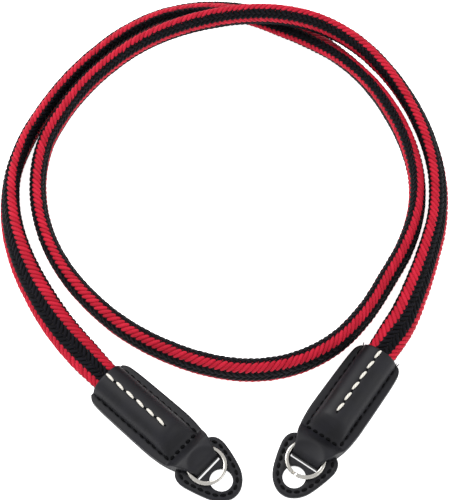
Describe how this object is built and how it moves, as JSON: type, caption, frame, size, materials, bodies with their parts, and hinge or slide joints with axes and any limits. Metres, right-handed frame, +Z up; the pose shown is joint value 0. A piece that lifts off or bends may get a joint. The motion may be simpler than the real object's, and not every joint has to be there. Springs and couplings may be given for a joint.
{
  "type": "camera strap",
  "caption": "Braided camera strap lying in a loose coil, with leather end tabs, split rings and leather ring pads.",
  "frame": {"origin": "under the middle of the whole strap's bounding box, on the surface that it lies on", "axes": "+Z up from the surface; the two end tabs point towards -Y; +X to the right when the tabs point at the viewer"},
  "size_m": [0.1714, 0.2144, 0.0204],
  "materials": {
    "braid": "braided acrylic cord, red and black",
    "leather": "smooth black leather, satin",
    "nickel": "polished nickel-plated steel"
  },
  "bodies": {
    "root": {"braided_rope": "braid", "left_end_tab": "leather", "left_ring_pad": "leather", "left_split_ring": "nickel", "right_end_tab": "leather", "right_ring_pad": "leather", "right_split_ring": "nickel"}
  },
  "joints": []
}
